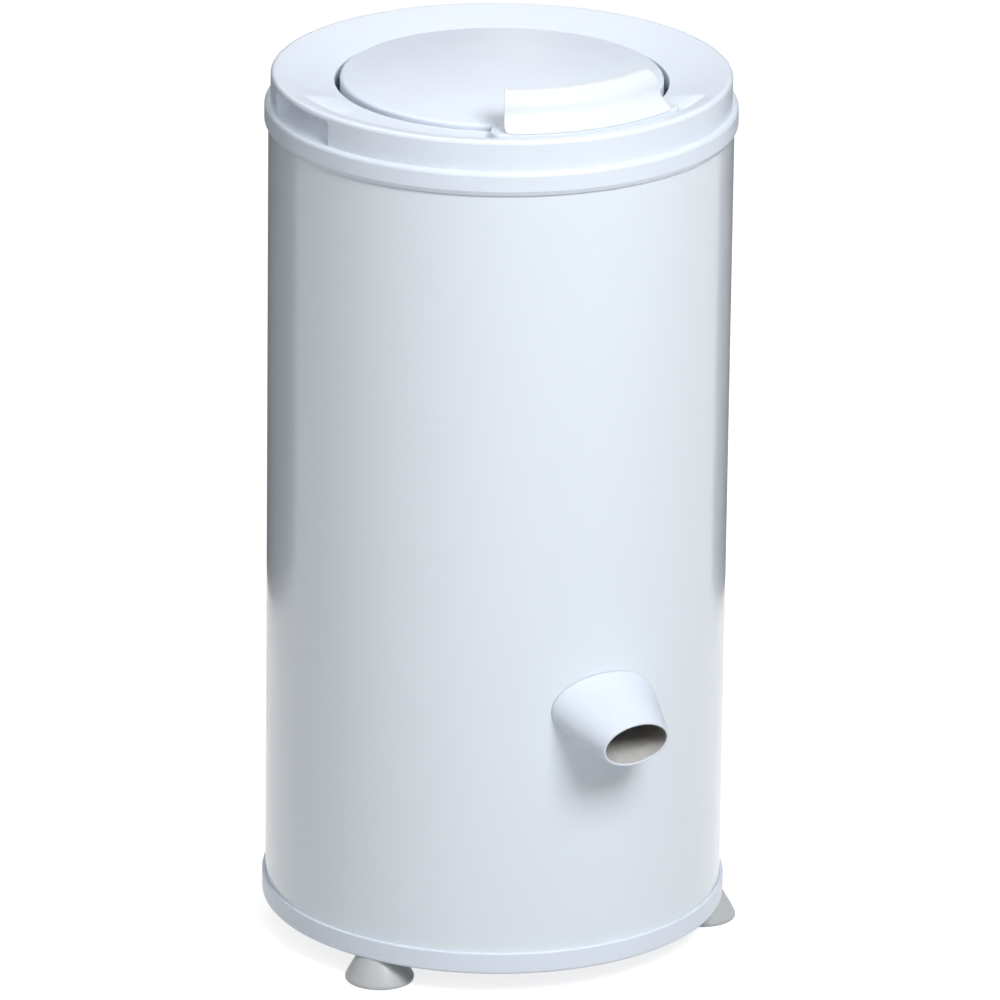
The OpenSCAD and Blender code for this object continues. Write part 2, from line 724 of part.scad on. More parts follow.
module brake_lever() {
    shoe_r = brake_r + brake_gap + lining_t;
    color([0.55, 0.57, 0.6]) at_az(brake_az) translate([0, 0, brake_z]) difference() {
        union() {
            translate([-brake_offset - 3, -lever_u - 4, 0]) cube([lever_v + brake_offset + 3, 8, brake_t]);
            translate([lever_v, -lever_u, 0]) cylinder(r = 7, h = brake_t);
            // Shoe behind the lining
            sweep_az(-22, 22) translate([shoe_r, 0]) square([lever_u - shoe_r + 1, brake_t]);
        }
        translate([lever_v, -lever_u, -past]) cylinder(r = 3 + run, h = brake_t + 2 * past);
        translate([-brake_offset, -lever_u + 10, brake_t / 2]) rotate([90, 0, 0]) cylinder(r = 1, h = 20);
    }
}

module brake_lining() {
    color([0.3, 0.22, 0.18]) at_az(brake_az) translate([0, 0, brake_z]) sweep_az(-20, 20)
        translate([brake_r + brake_gap, 0.5]) square([lining_t - slip, brake_t - 1]);
}

module brake_pivot_pin() {
    color([0.75, 0.76, 0.78]) at_az(brake_az) translate([lever_v, -lever_u, 0]) {
        rod(3, brake_z - 2, carrier_plate_z);
        rod(5.5, brake_z - 3.5, brake_z - 0.3);
    }
}

// Torsion spring round the brake's pivot
spring_turns = 3;
spring_wire = 0.6;
spring_r = 4.4;
spring_steps = 12;
spring_z0 = brake_z + brake_t + 1.1;
spring_z1 = carrier_plate_z - 1.1;

spring_last = spring_turns * spring_steps;

// Middle of the wire after i steps
function spring_mid(i) =
    let (a = 360 * i / spring_steps)
    [spring_r * cos(a), spring_r * sin(a), spring_z0 + (spring_z1 - spring_z0) * i / spring_last];

// Least gap between turns, printed as a check
spring_gap = min([for (i = [0:spring_last - spring_steps / 2])
    for (j = [i + spring_steps / 2:spring_last]) norm(spring_mid(i) - spring_mid(j))]) - 2 * spring_wire;
echo(spring_gap = spring_gap);

function spring_ring(i) =
    let (a = 360 * i / spring_steps, m = spring_mid(i))
    [for (w = [0:60:300]) m + spring_wire * [cos(w) * cos(a), cos(w) * sin(a), sin(w)]];

// A solid through rings of n points, closed with a fan at each end
module swept(rings) {
    m = len(rings);
    n = len(rings[0]);
    polyhedron(
        points = [for (r = rings) for (p = r) p],
        faces = concat(
            [for (k = [0:m - 2]) for (i = [0:n - 1]) for (half = [0, 1])
                let (a = k * n + i, b = k * n + (i + 1) % n, c = a + n, d = b + n)
                half == 0 ? [a, d, b] : [a, c, d]],
            [for (i = [1:n - 2]) [0, i, i + 1]],
            [for (i = [1:n - 2]) [(m - 1) * n, (m - 1) * n + i + 1, (m - 1) * n + i]]),
        convexity = 6);
}

module brake_spring() {
    color([0.7, 0.71, 0.73]) at_az(brake_az) translate([lever_v, -lever_u, 0])
        swept([for (i = [0:spring_last]) spring_ring(i)]);
}

// Heights of the cable's clips on the tub
clip_z = [for (t = [0.08, 0.45, 0.82]) tub_low + t * (tub_top - tub_low)];

// The cable's route, in the plane of the brake lever's end: outward distance and height
cable_out = cable_pcr * cos(brake_az - cable_az);
cable_route = [[cable_out, lever_z - 0.5], [cable_out, 480], [cable_out, 350], [cable_out, 220],
    [cable_out, 110], [cable_out - 1, 94], [cable_out - 5, 80], [cable_out - 13, 68],
    [cable_out - 24, 60], [cable_out - 37, 58], [110, 58], [lever_u + 4.5, 58]];

function cable_ring(i) =
    let (n = len(cable_route), p = cable_route[i],
         q = cable_route[min(i + 1, n - 1)] - cable_route[max(i - 1, 0)], t = q / norm(q))
    [for (k = [0:7]) let (w = 45 * k)
        [-brake_offset + cable_r * cos(w),
         -p[0] + cable_r * sin(w) * t[1],
         p[1] + cable_r * sin(w) * t[0]]];

module brake_cable() {
    color([0.12, 0.12, 0.13]) at_az(brake_az)
        swept([for (i = [0:len(cable_route) - 1]) cable_ring(i)]);
}

module cable_clips() {
    color([0.85, 0.86, 0.87]) for (z = clip_z) at_az(cable_az) difference() {
        translate([-4, -cable_pcr - 3.5, z]) cube([8, cable_pcr - tub_r + 4.5, 6]);
        translate([0, -cable_pcr, z - past]) cylinder(r = cable_r + slip, h = 6 + 2 * past);
        rod(tub_r + slip, z - past, z + 7);
    }
}

// ---- Drum ----

module drum_shell() {
    pitch = (drum_top - drum_low - 70) / (drain_rows - 1);
    color([0.83, 0.84, 0.86]) difference() {
        tube(drum_r - drum_sheet, drum_r, drum_low, drum_top - 3.5);
        for (row = [0:drain_rows - 1]) for (k = [0:drain_count - 1])
            at_az(360 * (k + (row % 2) / 2) / drain_count, drum_r + 3)
            translate([0, 0, drum_low + 30 + row * pitch]) rotate([-90, 0, 0])
            cylinder(r = drain_r, h = 8, $fn = 24);
    }
}

module drum_floor() {
    r_out = drum_r - drum_sheet - slip;
    color([0.78, 0.79, 0.81]) difference() {
        turned([[shaft_r + run, drum_floor_z - 8], [18, drum_floor_z - 8], [24, drum_floor_z],
            [r_out, drum_floor_z], [r_out, drum_floor_z + 9], [r_out - 2, drum_floor_z + 9],
            [r_out - 2, drum_floor_z + 5], [r_out - 4, drum_floor_z + drum_floor_t],
            [18, drum_floor_z + drum_floor_t], [18, shaft_shoulder_z], [shaft_r + run, shaft_shoulder_z]]);
        for (a = [0:30:330]) at_az(a, r_out - 18) rod(3, drum_floor_z - past, drum_floor_z + 10);
    }
}

module drum_rim() {
    z1 = drum_top;
    color([0.93, 0.94, 0.95]) turned(concat(
        [[drum_r + slip, z1 - 18], [drum_r + 2, z1 - 18]],
        arc([drum_r, z1 - 2], 2, 0, 90, 4),
        arc([drum_mouth_r + 2, z1 - 2], 2, 90, 180, 4),
        [[drum_mouth_r, z1 - 14], [drum_mouth_r + 2.5, z1 - 14], [drum_mouth_r + 2.5, z1 - 3.5],
         [drum_r + slip, z1 - 3.5]]));
}

module drum_shaft() {
    color([0.72, 0.73, 0.75]) turned([[0, shaft_z0], [shaft_r - 1, shaft_z0], [shaft_r, shaft_z0 + 1],
        [shaft_r, shaft_shoulder_z], [5, shaft_shoulder_z], [5, shaft_shoulder_z + 13],
        [4, shaft_shoulder_z + 14], [0, shaft_shoulder_z + 14]]);
}

module hub_nut() {
    color([0.75, 0.76, 0.78]) difference() {
        union() {
            rod(14, shaft_shoulder_z, shaft_shoulder_z + 2);
            translate([0, 0, shaft_shoulder_z + 1.9]) cylinder(r = 9.8, h = 7.1, $fn = 6);
        }
        rod(5 + run, shaft_shoulder_z - past, shaft_shoulder_z + 10);
    }
}

module hub_cap() {
    z0 = drum_floor_z + drum_floor_t;
    color([0.9, 0.91, 0.93]) turned(concat(
        [[26, z0], [34, z0], [34, z0 + 1.5], [28.5, z0 + 3]],
        arc([16.5, z0 + 26], 12, 0, 90, 6),
        [[0, z0 + 38.5], [0, z0 + 36]],
        arc([16.5, z0 + 26], 9.5, 90, 0, 6),
        [[26, z0 + 3]]));
}

module motor_rotor() {
    color([0.5, 0.51, 0.53]) {
        turned([[shaft_r + run, core_z0 - 4], [14, core_z0 - 4], [14, core_z0], [33.4, core_z0],
            [33.4, core_z1], [14, core_z1], [14, core_z1 + 4], [shaft_r + run, core_z1 + 4]]);
        for (z = [core_z0 - 6, core_z1 - eps]) tube(22, 31, z, z + 6 + eps);
    }
}

module cooling_fan() {
    color([0.25, 0.26, 0.27]) difference() {
        union() {
            rod(13, 39, 49);
            rod(47, 39, 40.5);
            for (a = [0:36:324]) at_az(a) translate([-1, -46, 39.5]) rotate([0, 0, 8]) cube([2, 36, 9]);
        }
        rod(shaft_r + run, 38, 50);
    }
}

// ---- Lid ----

// Height of the tongue's top at radius r
function tongue_z(r) = lid_edge_z + (r - lid_r) * (tongue_edge_z - lid_edge_z) / (tongue_r - lid_r);

// What rounds the outer corners of a sector of the tongue's radius, seen from above
module plan_corners(half, z0, z1) {
    turn = asin(corner_r / (tongue_r - corner_r));
    near = (tongue_r - corner_r) * cos(turn);
    far = tongue_r + 5;
    for (side = [0, 1]) mirror([side, 0, 0]) rotate([0, 0, half - 90]) translate([0, 0, z0])
        linear_extrude(height = z1 - z0)
            polygon(concat(arc([near, -corner_r], corner_r, 90, -turn, 12),
                [[far * cos(turn), -far * sin(turn)], [far, 4], [near, 4]]));
}

module lid_cover() {
    edge = 2.5;
    edge_z = dome_z + sqrt(pow(dome_r, 2) - pow(lid_r - edge, 2)) + 0.05;
    color([0.93, 0.95, 0.97]) {
        difference() {
            union() {
                rotate_extrude() difference() {
                    intersection() {
                        translate([0, dome_z]) circle(dome_r, $fn = 1440);
                        polygon(concat([[0, lid_low], [lid_r, lid_low]],
                            arc([lid_r - edge, edge_z - edge], edge, 0, 90, 5),
                            [[lid_r - edge, height + 20], [0, height + 20]]));
                    }
                    intersection() {
                        translate([0, dome_z]) circle(dome_r - lid_wall, $fn = 1440);
                        translate([0, lid_low - 1]) square([lid_r - lid_wall, 30]);
                    }
                }
                sweep_az(-tongue_half, tongue_half) polygon([[lid_r - 2, mouth_z + 0.8],
                    [tongue_r, mouth_z + 0.8], [tongue_r, tongue_edge_z - 1],
                    [tongue_r - 1, tongue_z(tongue_r - 1)], [lid_r - 2, tongue_z(lid_r - 2)]]);
                rod(10, carrier_z + 0.3, lid_edge_z + 3);
            }
            rod(pivot_r + run, lid_low - 5, lid_edge_z);
            plan_corners(tongue_half, mouth_z, height + past);
        }
        // Peg that works the interlock
        at_az(peg_az, peg_pcr) rod(peg_r, lever_z + 1, mouth_z + 2);
    }
}

// The grip's front rolls over to a nose, then sweeps out to the tongue's edge
grip_top = height + grip_h;
grip_wall = 2.6;
grip_lip_t = 5;
grip_cheek = 1.2;     // degrees
grip_nose_a = 5;      // where the roll meets the sweep
grip_roll_c = [mouth_r + 15 - grip_roll, grip_top - grip_roll];
grip_nose_dir = [cos(grip_nose_a), sin(grip_nose_a)];
grip_nose = grip_roll_c + grip_roll * grip_nose_dir;
grip_foot = [tongue_r, tongue_z(tongue_r) + 0.3];
grip_sweep_r = pow(norm(grip_foot - grip_nose), 2) / (2 * (grip_foot - grip_nose) * grip_nose_dir);
grip_sweep_c = grip_nose + grip_sweep_r * grip_nose_dir;
grip_sweep_a = 180 + grip_nose_a;
grip_foot_a = 360 + atan2(grip_foot[1] - grip_sweep_c[1], grip_foot[0] - grip_sweep_c[0]);
grip_sweep_step = (grip_foot_a - grip_sweep_a) / 12;

// Section of the grip: a rolled front over a hollow sweep down to the tongue's edge
module grip_outline() {
    back = lid_r + 1.5;
    polygon(concat([[back, tongue_z(back)]],
        arc([back + 2, grip_top - 2], 2, 180, 90, 4),
        arc(grip_roll_c, grip_roll, 90, grip_nose_a, 16),
        arc(grip_sweep_c, grip_sweep_r, grip_sweep_a + grip_sweep_step, grip_foot_a, 11),
        [[tongue_r, tongue_z(tongue_r)]]));
}

// Section of the finger pocket behind the front
module grip_hollow() {
    back = lid_r - 3;
    low = lid_edge_z - past;
    roll = grip_roll - grip_wall;
    sweep = grip_sweep_r + grip_wall;
    lip_a = asin((grip_roll - grip_lip_t) / roll);
    polygon(concat([[back, low], [grip_sweep_c[0] + sweep * cos(grip_foot_a), low]],
        arc(grip_sweep_c, sweep, grip_foot_a, grip_sweep_a + grip_sweep_step, 11),
        arc(grip_roll_c, roll, grip_nose_a, lip_a, 10),
        [[back, grip_top - grip_lip_t]]));
}

module lid_grip() {
    color([0.98, 0.99, 1]) difference() {
        sweep_az(-grip_half, grip_half) grip_outline();
        sweep_az(-grip_half + grip_cheek, grip_half - grip_cheek) grip_hollow();
        plan_corners(grip_half, mouth_z, grip_top + past);
    }
}

module arm_notch(z0, z1) {
    translate([-hinge_slot, carrier_r - 14, z0]) cube([2 * hinge_slot, 30, z1 - z0]);
}

module inner_lid() {
    plate0 = carrier_z - carrier_t;
    color([0.9, 0.91, 0.93]) difference() {
        union() {
            tube(pivot_r + run, carrier_r, plate0, carrier_z);
            tube(carrier_r - 2.5, carrier_r, plate0 - 5, plate0 + eps);
            for (a = [30:60:330]) at_az(a) translate([-1.25, -carrier_r + 1, plate0 - 3])
                cube([2.5, carrier_r - 20, 3.1]);
        }
        arm_notch(plate0 - 6, plate0);
        for (p = rivet_at) translate([p[0], p[1], 0]) rod(2 + run, plate0 - past, carrier_z + past);
    }
}

module lid_seal() {
    z1 = carrier_z - carrier_t - 5;
    color([0.3, 0.31, 0.32]) difference() {
        turned([[carrier_r - 2.5, z1 - seal_t], [carrier_r + 3, z1 - seal_t],
            [carrier_r + 5.5, z1 - seal_t + 1], [carrier_r + 5.5, z1 - seal_t + 2],
            [carrier_r + 1, z1], [carrier_r - 2.5, z1]]);
        arm_notch(z1 - seal_t - past, z1 + past);
    }
}

module lid_pivot() {
    plate0 = carrier_z - carrier_t;
    color([0.8, 0.81, 0.83]) {
        rod(pivot_r, plate0 - 3, lid_edge_z - 1);
        rod(12, plate0 - 3, plate0);
    }
}

rivet_at = [for (x = [-arm_x - arm_w / 2, arm_x + arm_w / 2]) for (y = [hinge_y - 55, hinge_y - 38]) [x, y]];

// The gooseneck in its own plane, with the hinge's axis at the origin
module arm_section() {
    half = arm_t / 2;
    plate_drop = hinge_z - (carrier_z - carrier_t);
    start = 180 + asin((plate_drop + half) / arm_r) - 4;
    difference() {
        union() {
            polygon(concat(arc([0, 0], arm_r + half, start, 270, 10), arc([0, 0], arm_r - half, 270, start, 10)));
            translate([-half, -arm_r - half]) square([arm_t, arm_r + half]);
            circle(hinge_boss_r, $fn = 48);
            translate([-62, -plate_drop - arm_t]) square([62 - arm_r * 0.94, arm_t]);
        }
        circle(hinge_pin_r + run, $fn = 48);
    }
}

module hinge_arms() {
    color([0.75, 0.76, 0.78]) difference() {
        for (x = [-arm_x - arm_w, arm_x]) translate([x, hinge_y, hinge_z]) rotate([90, 0, 90])
            linear_extrude(arm_w) arm_section();
        for (p = rivet_at) translate([p[0], p[1], 0]) rod(2 + run, carrier_z - 12, carrier_z);
    }
}

module arm_rivets() {
    plate0 = carrier_z - carrier_t;
    color([0.7, 0.71, 0.73]) for (p = rivet_at) translate([p[0], p[1], 0]) {
        rod(2, plate0 - arm_t - 1, carrier_z + 0.6);
        rod(3.6, plate0 - arm_t - 1.6, plate0 - arm_t);
        rod(3.6, carrier_z, carrier_z + 1.2);
    }
}

hinge_screw_x = [-9, 9];
hinge_screw_y = hinge_y + 17;

module hinge_bracket() {
    ear = 2.5;
    back = hinge_y + 23;
    color([0.6, 0.62, 0.65]) difference() {
        union() {
            translate([-20, hinge_y + 11, tub_top]) cube([40, 12, 2]);
            for (x = [-arm_x - arm_w - 1.5 - ear, arm_x + arm_w + 1.5]) translate([x, 0, 0])
                rotate([90, 0, 90]) linear_extrude(ear) {
                    polygon([[hinge_y, hinge_z - hinge_boss_r], [hinge_y, hinge_z + hinge_boss_r],
                        [hinge_y + 10, hinge_z + hinge_boss_r], [back, tub_top + 8], [back, tub_top],
                        [hinge_y + 11, tub_top]]);
                    translate([hinge_y, hinge_z]) circle(hinge_boss_r, $fn = 48);
                }
        }
        translate([-30, hinge_y, hinge_z]) rotate([0, 90, 0]) cylinder(r = hinge_pin_r + 0.02, h = 60);
        for (x = hinge_screw_x) translate([x, hinge_screw_y, 0]) rod(2.2, tub_top - past, tub_top + 3);
    }
}

module hinge_pin() {
    color([0.8, 0.81, 0.83]) translate([-20, hinge_y, hinge_z]) rotate([0, 90, 0])
        cylinder(r = hinge_pin_r, h = 40);
}

module hinge_screws() {
    color([0.75, 0.76, 0.78]) for (x = hinge_screw_x) translate([x, hinge_screw_y, 0])
        screw(tub_top + 2, 2, 9, 4, 2.4);
}

jacket();
base_pan();
foot_front_left();
foot_front_right();
foot_rear();
foot_screws();
top_ring();
ring_screws();
catch_tub();
outlet_spout();
spout_seal();
tub_boot();
carrier_plate();
rubber_mounts();
mount_bolts();
motor_lower_shield();
motor_upper_shield();
stator_core();
stator_windings();
motor_bolts();
lower_bearing();
upper_bearing();
capacitor();
capacitor_clip();
cord_gland();
microswitch();
interlock_pin();
brake_pivot_pin();
brake_spring();
brake_cable();
cable_clips();
hinge_bracket();
hinge_pin();
hinge_screws();
drum_shell();
drum_floor();
drum_rim();
drum_shaft();
hub_nut();
hub_cap();
motor_rotor();
brake_drum();
cooling_fan();
inner_lid();
lid_seal();
lid_pivot();
hinge_arms();
arm_rivets();
lid_cover();
lid_grip();
interlock_lever();
brake_lever();
brake_lining();
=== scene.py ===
"""Laundry spin dryer: finishes, fine pieces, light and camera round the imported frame.

Metres, +Z up, the origin on the floor under the machine, the spout and the grip towards -Y.
An azimuth is measured from the front (-Y) and is positive towards +X.
"""
import math

import bmesh
import bpy
from mathutils import Matrix, Vector


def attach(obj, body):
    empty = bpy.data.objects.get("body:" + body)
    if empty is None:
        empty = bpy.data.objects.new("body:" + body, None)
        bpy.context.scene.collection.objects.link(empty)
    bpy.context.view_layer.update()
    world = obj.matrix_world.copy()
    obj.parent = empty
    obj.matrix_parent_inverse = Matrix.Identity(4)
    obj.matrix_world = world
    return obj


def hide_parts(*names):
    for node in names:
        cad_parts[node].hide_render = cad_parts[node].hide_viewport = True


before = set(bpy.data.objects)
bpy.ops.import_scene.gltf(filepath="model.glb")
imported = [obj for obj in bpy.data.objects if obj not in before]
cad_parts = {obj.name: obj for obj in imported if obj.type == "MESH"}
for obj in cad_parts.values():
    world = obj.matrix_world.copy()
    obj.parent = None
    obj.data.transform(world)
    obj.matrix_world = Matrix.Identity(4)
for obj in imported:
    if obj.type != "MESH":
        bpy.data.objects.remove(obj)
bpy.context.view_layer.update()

MM = 0.001
UP = Vector((0, 0, 1))


def direction(azimuth, elevation=0.0):
    """Unit vector from the machine's axis towards an azimuth and an elevation in degrees."""
    a, e = math.radians(azimuth), math.radians(elevation)
    return Vector((math.sin(a) * math.cos(e), -math.cos(a) * math.cos(e), math.sin(e)))


def add_object(name, data):
    """New object in the scene's collection."""
    made = bpy.data.objects.new(name, data)
    bpy.context.collection.objects.link(made)
    return made


def add_mesh(name, points, faces):
    mesh = bpy.data.meshes.new(name)
    mesh.from_pydata(points, [], faces)
    return mesh


def smooth(mesh, sharp_degrees):
    """Smooth shading, except across edges sharper than an angle."""
    for face in mesh.polygons:
        face.use_smooth = True
    mesh.set_sharp_from_angle(angle=math.radians(sharp_degrees))


# ---------------------------------------------------------------- camera

CAMERA_AZIMUTH = -28.39       # degrees from the front
CAMERA_ELEVATION = 20.03      # degrees above the horizon
CAMERA_DISTANCE = 7.5
CAMERA_AIM_SIDE = 0.0023      # aim point to the right of the machine's axis
CAMERA_AIM_Z = 0.3272
CAMERA_ROLL = 0.69            # degrees
CAMERA_CLIP_END = 100         # beyond the floor's far edge
FOCAL_PIXELS = 10150.0        # focal length in pixels of a picture 1000 wide
PICTURE_WIDTH = 1000.0
SENSOR_MM = 36.0


def look_along(back, roll=0.0):
    """Rotation of a camera or lamp whose local +Z is back, turned by roll degrees."""
    right = UP.cross(back).normalized()
    up = back.cross(right)
    turn = Matrix((right, up, back)).transposed()
    return (turn @ Matrix.Rotation(math.radians(roll), 3, "Z")).to_euler()


def make_camera():
    data = bpy.data.cameras.new("camera")
    data.sensor_width = SENSOR_MM
    data.lens = FOCAL_PIXELS * SENSOR_MM / PICTURE_WIDTH
    data.clip_end = CAMERA_CLIP_END
    camera = add_object("camera", data)
    back = direction(CAMERA_AZIMUTH, CAMERA_ELEVATION)
    side = UP.cross(back).normalized()
    aim = side * CAMERA_AIM_SIDE + UP * CAMERA_AIM_Z
    camera.location = aim + back * CAMERA_DISTANCE
    camera.rotation_euler = look_along(back, CAMERA_ROLL)
    bpy.context.scene.camera = camera


make_camera()

# ---------------------------------------------------------------- light and stage

bpy.context.scene.view_settings.view_transform = "Standard"

LAMP_AIM_Z = 0.35             # about half way up the machine


def area_light(name, azimuth, elevation, distance, width, height, watts):
    """Rectangular white lamp at a distance from the machine's middle, facing it."""
    data = bpy.data.lights.new(name, "AREA")
    data.shape = "RECTANGLE"
    data.size = width
    data.size_y = height
    data.energy = watts
    lamp = add_object(name, data)
    back = direction(azimuth, elevation)
    lamp.location = back * distance + UP * LAMP_AIM_Z
    lamp.rotation_euler = look_along(back)


def seen_mix(tree, seen, unseen, out):
    """Shader seen by camera, glossy and transmission rays, and another for the rest."""
    path = tree.nodes.new("ShaderNodeLightPath")
    first = tree.nodes.new("ShaderNodeMath")
    first.operation = "MAXIMUM"
    second = tree.nodes.new("ShaderNodeMath")
    second.operation = "MAXIMUM"
    tree.links.new(path.outputs["Is Camera Ray"], first.inputs[0])
    tree.links.new(path.outputs["Is Glossy Ray"], first.inputs[1])
    tree.links.new(first.outputs[0], second.inputs[0])
    tree.links.new(path.outputs["Is Transmission Ray"], second.inputs[1])
    mix = tree.nodes.new("ShaderNodeMixShader")
    tree.links.new(second.outputs[0], mix.inputs[0])
    tree.links.new(unseen.outputs[0], mix.inputs[1])
    tree.links.new(seen.outputs[0], mix.inputs[2])
    tree.links.new(mix.outputs[0], out.inputs[0])


AMBIENT = 0.21                # strength of the room's even light
AMBIENT_COLOUR = (0.94, 0.97, 1.0, 1)
SEEN_WHITE = (1, 1, 1, 1)     # what the camera and reflections see round the machine


def make_world():
    world = bpy.data.worlds.new("studio")
    bpy.context.scene.world = world
    world.use_nodes = True
    tree = world.node_tree
    tree.nodes.clear()
    out = tree.nodes.new("ShaderNodeOutputWorld")
    seen = tree.nodes.new("ShaderNodeBackground")
    seen.inputs["Color"].default_value = SEEN_WHITE
    unseen = tree.nodes.new("ShaderNodeBackground")
    unseen.inputs["Color"].default_value = AMBIENT_COLOUR
    unseen.inputs["Strength"].default_value = AMBIENT
    seen_mix(tree, seen, unseen, out)


FLOOR_HALF = 30.0
FLOOR_GREY = (0.5, 0.5, 0.5, 1)
FLOOR_GLOW = 0.78             # added where the floor is seen, so that it reads as white


def make_floor():
    h = FLOOR_HALF
    mesh = add_mesh("floor", [(-h, -h, 0), (h, -h, 0), (h, h, 0), (-h, h, 0)], [(0, 1, 2, 3)])
    floor = add_object("floor", mesh)
    material = bpy.data.materials.new("floor_paper")
    material.use_nodes = True
    tree = material.node_tree
    tree.nodes.clear()
    out = tree.nodes.new("ShaderNodeOutputMaterial")
    paper = tree.nodes.new("ShaderNodeBsdfDiffuse")
    paper.inputs["Color"].default_value = FLOOR_GREY
    glow = tree.nodes.new("ShaderNodeEmission")
    glow.inputs["Strength"].default_value = FLOOR_GLOW
    both = tree.nodes.new("ShaderNodeAddShader")
    tree.links.new(paper.outputs[0], both.inputs[0])
    tree.links.new(glow.outputs[0], both.inputs[1])
    seen_mix(tree, both, paper, out)
    mesh.materials.append(material)


make_world()
make_floor()
area_light("key", azimuth=2, elevation=43, distance=3.6, width=1.4, height=1.4, watts=98)
area_light("fill", azimuth=-62, elevation=42, distance=4.0, width=2.5, height=2.5, watts=26)
area_light("back", azimuth=165, elevation=62, distance=4.0, width=2.5, height=2.0, watts=38)


CARD_BLACK = (0.02, 0.02, 0.022, 1)


def dark_card(name, azimuth, distance, width, height):
    """A black card that only reflections show, as beside a glossy product in a studio."""
    w = width / 2
    mesh = add_mesh(name, [(-w, 0, 0), (w, 0, 0), (w, 0, height), (-w, 0, height)], [(0, 1, 2, 3)])
    card = add_object(name, mesh)
    card.location = direction(azimuth) * distance
    card.rotation_euler = (0, 0, math.radians(azimuth))
    material = bpy.data.materials.new(name)
    material.use_nodes = True
    material.node_tree.nodes["Principled BSDF"].inputs["Base Color"].default_value = CARD_BLACK
    mesh.materials.append(material)
    card.visible_camera = False
    card.visible_diffuse = False
    card.visible_transmission = False
    card.visible_volume_scatter = False
    card.visible_shadow = False


dark_card("card_left", azimuth=-174, distance=0.75, width=1.0, height=1.0)
dark_card("card_right", azimuth=124, distance=0.75, width=0.68, height=1.0)

# ---------------------------------------------------------------- materials


NOISE_LOW, NOISE_HIGH = 0.3, 0.7      # between them lies nearly all of a noise texture
SPECK_CORE = 0.6                      # share of a speck's radius that has its full colour
EDGE_SAMPLES = 4


class Look:
    """A material being built: a Principled shader and the nodes that feed it."""

    def __init__(self, name):
        self.material = bpy.data.materials.new(name)
        self.material.use_nodes = True
        self.tree = self.material.node_tree
        self.shader = self.tree.nodes["Principled BSDF"]
        self.place = self.node("ShaderNodeTexCoord").outputs["Object"]
        self.normal = None

    def node(self, kind, **settings):
        made = self.tree.nodes.new(kind)
        for key, value in settings.items():
            setattr(made, key, value)
        return made

    def link(self, a, b):
        self.tree.links.new(a, b)

    def set(self, **sockets):
        """Uniform values on the shader's own sockets, with _ for a space in a name."""
        for key, value in sockets.items():
            self.shader.inputs[key.replace("_", " ")].default_value = value

    def stretched(self, scale):
        """The place, scaled by a vector, for textures that run along an axis."""
        mapping = self.node("ShaderNodeMapping")
        mapping.inputs["Scale"].default_value = scale
        self.link(self.place, mapping.inputs["Vector"])
        return mapping.outputs["Vector"]

    def noise(self, size, detail=3.0, rough=0.5, stretch=None):
        """Noise from 0 to 1, whose blobs are about size metres across."""
        tex = self.node("ShaderNodeTexNoise")
        tex.inputs["Scale"].default_value = 1 / size
        tex.inputs["Detail"].default_value = detail
        tex.inputs["Roughness"].default_value = rough
        self.link(self.stretched(stretch) if stretch else self.place, tex.inputs["Vector"])
        return tex.outputs["Fac"]

    def specks(self, cell, radius):
        """1 in round specks of a radius, at most one in each cell, and 0 elsewhere."""
        tex = self.node("ShaderNodeTexVoronoi", feature="F1")
        tex.inputs["Scale"].default_value = 1 / cell
        self.link(self.place, tex.inputs["Vector"])
        return self.ranged(tex.outputs["Distance"], radius / cell, SPECK_CORE * radius / cell)

    def ranged(self, value, lo=NOISE_LOW, hi=NOISE_HIGH, to_lo=0, to_hi=1):
        """The value, taken from one range to another and held inside it."""
        node = self.node("ShaderNodeMapRange", clamp=True)
        for socket, number in zip(("From Min", "From Max", "To Min", "To Max"), (lo, hi, to_lo, to_hi)):
            node.inputs[socket].default_value = number
        self.link(value, node.inputs["Value"])
        return node.outputs["Result"]

    def mixed(self, factor, a, b):
        """Colour a where factor is 0, and b where it is 1. Each is a colour or a socket."""
        node = self.node("ShaderNodeMix", data_type="RGBA")
        self.link(factor, node.inputs["Factor"])
        for socket, colour in (("A", a), ("B", b)):
            target = [s for s in node.inputs if s.name == socket and s.type == "RGBA"][0]
            if isinstance(colour, tuple):
                target.default_value = (*colour, 1)
            else:
                self.link(colour, target)
        return [s for s in node.outputs if s.type == "RGBA"][0]

    def colour(self, socket):
        self.link(socket, self.shader.inputs["Base Color"])

    def roughness(self, lo, hi, size, detail=4.0, stretch=None):
        """Roughness that wanders between two values over patches of a size."""
        patches = self.noise(size, detail, stretch=stretch)
        self.link(self.ranged(patches, to_lo=lo, to_hi=hi), self.shader.inputs["Roughness"])

    def add_normal(self, node):
        """Puts a node that bends the normal after those that are there."""
        if self.normal:
            self.link(self.normal, node.inputs["Normal"])
        self.normal = node.outputs["Normal"]
        self.link(self.normal, self.shader.inputs["Normal"])

    def bump(self, height, depth):
        """Adds relief of a depth in metres where height goes from 0 to 1."""
        node = self.node("ShaderNodeBump")
        node.inputs["Distance"].default_value = depth
        node.inputs["Strength"].default_value = 1.0
        self.link(height, node.inputs["Height"])
        self.add_normal(node)

    def soft_edges(self, radius):
        """Rounds the shading of sharp edges."""
        node = self.node("ShaderNodeBevel", samples=EDGE_SAMPLES)
        node.inputs["Radius"].default_value = radius
        self.add_normal(node)


def scaled(colour, k):
    return tuple(c * k for c in colour)


